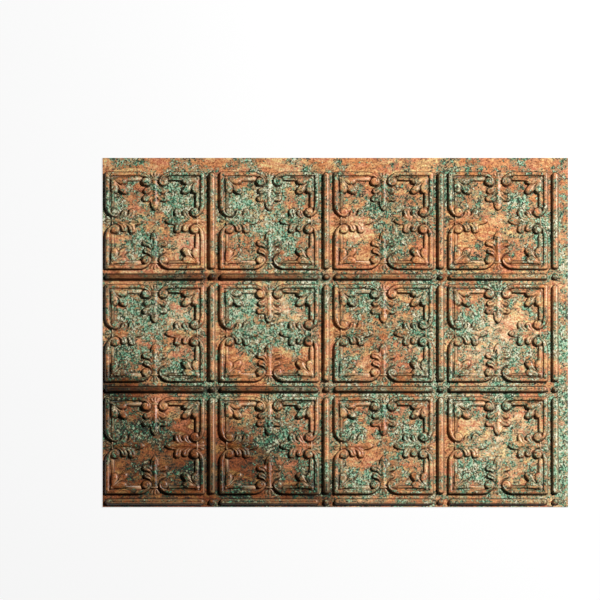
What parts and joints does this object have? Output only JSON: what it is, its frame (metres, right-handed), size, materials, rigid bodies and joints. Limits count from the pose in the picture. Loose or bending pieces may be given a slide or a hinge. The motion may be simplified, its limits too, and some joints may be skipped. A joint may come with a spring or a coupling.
{
  "type": "vinyl backsplash panel",
  "caption": "Flat rectangular sheet of thin embossed vinyl with a tin-ceiling pattern of framed squares and plain lap margins, glued to a kitchen wall as a backsplash.",
  "frame": {"origin": "middle of the sheet's outline, on the back face that goes against the wall", "axes": "+X along the longer edge, to the right as seen on the wall; +Y up the wall; +Z out of the wall, the embossed face"},
  "size_m": [0.6202, 0.4732, 0.006],
  "materials": {
    "vinyl": "satin vinyl printed to look like aged copper with verdigris"
  },
  "bodies": {
    "root": {"panel": "vinyl"}
  },
  "joints": []
}
